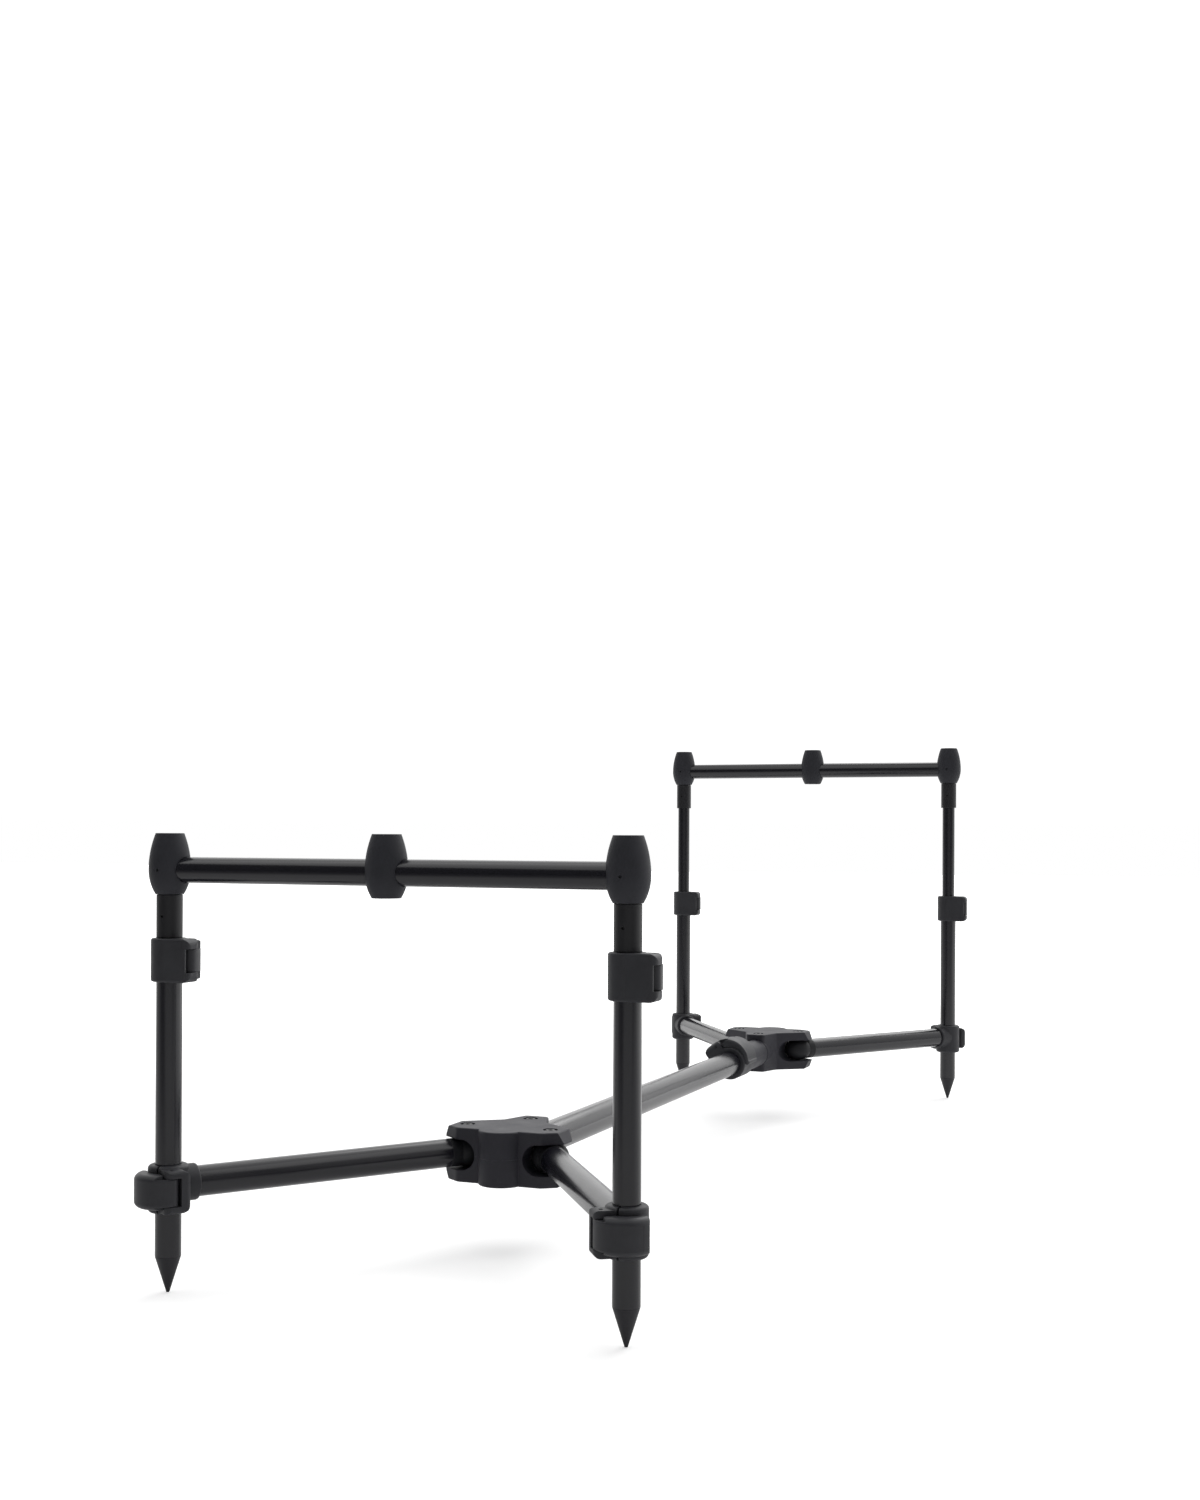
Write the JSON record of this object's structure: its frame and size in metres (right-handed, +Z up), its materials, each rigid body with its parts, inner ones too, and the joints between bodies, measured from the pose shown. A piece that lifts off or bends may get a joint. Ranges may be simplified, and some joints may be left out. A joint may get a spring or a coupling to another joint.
{
  "type": "rod pod",
  "caption": "Fishing rod pod: telescopic keel, folding arms and spiked telescopic legs under two cross bars with threaded beads for bite alarms.",
  "frame": {"origin": "on the floor, under the middle of the four leg axes", "axes": "+X to the right across the pod, +Y from the low front bar to the high rear bar, +Z up"},
  "size_m": [0.4251, 1.2854, 0.4728],
  "materials": {
    "tube": "satin black anodised",
    "spike": "matte black anodised",
    "hub": "matte black moulding",
    "moulding": "matte black moulding",
    "bead": "soft matte black moulding",
    "bolt": "black oxide",
    "insert": "plain turned"
  },
  "bodies": {
    "keel": {"keel_outer_tube": "tube", "keel_clamp": "moulding", "front_hub_upper": "hub", "front_hub_lower": "hub", "front_hub_bolts": "bolt"},
    "rear_hub": {"rear_hub_upper": "hub", "rear_hub_lower": "hub", "rear_hub_bolts": "bolt", "keel_inner_tube": "tube"},
    "keel_lever": {"keel_lever": "moulding"},
    "front_left_arm": {"front_left_arm_tube": "tube", "front_left_arm_plug": "moulding", "front_left_arm_clamp": "moulding"},
    "front_left_arm_lever": {"front_left_arm_lever": "moulding"},
    "front_left_leg": {"front_left_leg_tube": "tube", "front_left_spike": "spike", "front_left_leg_clamp": "moulding"},
    "front_left_leg_lever": {"front_left_leg_lever": "moulding"},
    "front_left_upper": {"front_left_inner_tube": "tube", "front_left_sleeve": "spike", "front_bar_tube": "tube", "front_left_bead": "bead", "front_centre_bead": "bead", "front_right_bead": "bead", "front_bar_inserts": "insert"},
    "front_right_arm": {"front_right_arm_tube": "tube", "front_right_arm_plug": "moulding", "front_right_arm_clamp": "moulding"},
    "front_right_arm_lever": {"front_right_arm_lever": "moulding"},
    "front_right_leg": {"front_right_leg_tube": "tube", "front_right_spike": "spike", "front_right_leg_clamp": "moulding"},
    "front_right_leg_lever": {"front_right_leg_lever": "moulding"},
    "front_right_upper": {"front_right_inner_tube": "tube", "front_right_sleeve": "spike"},
    "rear_left_arm": {"rear_left_arm_tube": "tube", "rear_left_arm_plug": "moulding", "rear_left_arm_clamp": "moulding"},
    "rear_left_arm_lever": {"rear_left_arm_lever": "moulding"},
    "rear_left_leg": {"rear_left_leg_tube": "tube", "rear_left_spike": "spike", "rear_left_leg_clamp": "moulding"},
    "rear_left_leg_lever": {"rear_left_leg_lever": "moulding"},
    "rear_left_upper": {"rear_left_inner_tube": "tube", "rear_left_sleeve": "spike", "rear_bar_tube": "tube", "rear_left_bead": "bead", "rear_centre_bead": "bead", "rear_right_bead": "bead", "rear_bar_inserts": "insert"},
    "rear_right_arm": {"rear_right_arm_tube": "tube", "rear_right_arm_plug": "moulding", "rear_right_arm_clamp": "moulding"},
    "rear_right_arm_lever": {"rear_right_arm_lever": "moulding"},
    "rear_right_leg": {"rear_right_leg_tube": "tube", "rear_right_spike": "spike", "rear_right_leg_clamp": "moulding"},
    "rear_right_leg_lever": {"rear_right_leg_lever": "moulding"},
    "rear_right_upper": {"rear_right_inner_tube": "tube", "rear_right_sleeve": "spike"}
  },
  "joints": [
    {"name": "keel_slide", "type": "slide", "parent": "keel", "child": "rear_hub", "axis": [0, 1, 0], "range_m": [0, 0.3]},
    {"name": "keel_lever_hinge", "type": "hinge", "parent": "keel", "child": "keel_lever", "pos_m": [-0.01631, 0.2506, 0.10205], "axis": [0, -1, 0], "range_deg": [0, 105]},
    {"name": "front_left_arm_fold", "type": "hinge", "parent": "keel", "child": "front_left_arm", "pos_m": [-0.0385, -0.398, 0.083], "axis": [0, 0, -1], "range_deg": [0, 140]},
    {"name": "front_left_arm_lever_hinge", "type": "hinge", "parent": "front_left_arm", "child": "front_left_arm_lever", "pos_m": [-0.17563, -0.63011, 0.0805], "axis": [0, 0, 1], "range_deg": [0, 105]},
    {"name": "front_left_leg_slide", "type": "slide", "parent": "front_left_arm", "child": "front_left_leg", "axis": [0, 0, 1], "range_m": [-0.135, 0.03]},
    {"name": "front_left_leg_lever_hinge", "type": "hinge", "parent": "front_left_leg", "child": "front_left_leg_lever", "pos_m": [-0.169, -0.617, 0.25625], "axis": [0, 0, -1], "range_deg": [0, 105]},
    {"name": "front_left_extension", "type": "slide", "parent": "front_left_leg", "child": "front_left_upper", "axis": [0, 0, 1], "range_m": [0, 0.18]},
    {"name": "front_right_arm_fold", "type": "hinge", "parent": "keel", "child": "front_right_arm", "pos_m": [0.0385, -0.398, 0.083], "axis": [0, 0, 1], "range_deg": [0, 140]},
    {"name": "front_right_arm_lever_hinge", "type": "hinge", "parent": "front_right_arm", "child": "front_right_arm_lever", "pos_m": [0.17563, -0.63011, 0.0805], "axis": [0, 0, -1], "range_deg": [0, 105]},
    {"name": "front_right_leg_slide", "type": "slide", "parent": "front_right_arm", "child": "front_right_leg", "axis": [0, 0, 1], "range_m": [-0.135, 0.03]},
    {"name": "front_right_leg_lever_hinge", "type": "hinge", "parent": "front_right_leg", "child": "front_right_leg_lever", "pos_m": [0.209, -0.617, 0.25625], "axis": [0, 0, -1], "range_deg": [0, 105]},
    {"name": "front_right_extension", "type": "slide", "parent": "front_right_leg", "child": "front_right_upper", "axis": [0, 0, 1], "range_m": [0, 0.18]},
    {"name": "rear_left_arm_fold", "type": "hinge", "parent": "rear_hub", "child": "rear_left_arm", "pos_m": [-0.0385, 0.398, 0.083], "axis": [0, 0, 1], "range_deg": [0, 140]},
    {"name": "rear_left_arm_lever_hinge", "type": "hinge", "parent": "rear_left_arm", "child": "rear_left_arm_lever", "pos_m": [-0.17563, 0.63011, 0.0805], "axis": [0, 0, -1], "range_deg": [0, 105]},
    {"name": "rear_left_leg_slide", "type": "slide", "parent": "rear_left_arm", "child": "rear_left_leg", "axis": [0, 0, 1], "range_m": [-0.135, 0.03]},
    {"name": "rear_left_leg_lever_hinge", "type": "hinge", "parent": "rear_left_leg", "child": "rear_left_leg_lever", "pos_m": [-0.169, 0.613, 0.25625], "axis": [0, 0, -1], "range_deg": [0, 105]},
    {"name": "rear_left_extension", "type": "slide", "parent": "rear_left_leg", "child": "rear_left_upper", "axis": [0, 0, 1], "range_m": [-0.118, 0.062]},
    {"name": "rear_right_arm_fold", "type": "hinge", "parent": "rear_hub", "child": "rear_right_arm", "pos_m": [0.0385, 0.398, 0.083], "axis": [0, 0, -1], "range_deg": [0, 140]},
    {"name": "rear_right_arm_lever_hinge", "type": "hinge", "parent": "rear_right_arm", "child": "rear_right_arm_lever", "pos_m": [0.17563, 0.63011, 0.0805], "axis": [0, 0, 1], "range_deg": [0, 105]},
    {"name": "rear_right_leg_slide", "type": "slide", "parent": "rear_right_arm", "child": "rear_right_leg", "axis": [0, 0, 1], "range_m": [-0.135, 0.03]},
    {"name": "rear_right_leg_lever_hinge", "type": "hinge", "parent": "rear_right_leg", "child": "rear_right_leg_lever", "pos_m": [0.209, 0.613, 0.25625], "axis": [0, 0, -1], "range_deg": [0, 105]},
    {"name": "rear_right_extension", "type": "slide", "parent": "rear_right_leg", "child": "rear_right_upper", "axis": [0, 0, 1], "range_m": [-0.118, 0.062]}
  ],
  "couplings": [
    {"joint": "front_right_leg_slide", "follows": "front_left_leg_slide", "ratio": 1},
    {"joint": "front_right_extension", "follows": "front_left_extension", "ratio": 1},
    {"joint": "rear_right_leg_slide", "follows": "rear_left_leg_slide", "ratio": 1},
    {"joint": "rear_right_extension", "follows": "rear_left_extension", "ratio": 1}
  ]
}
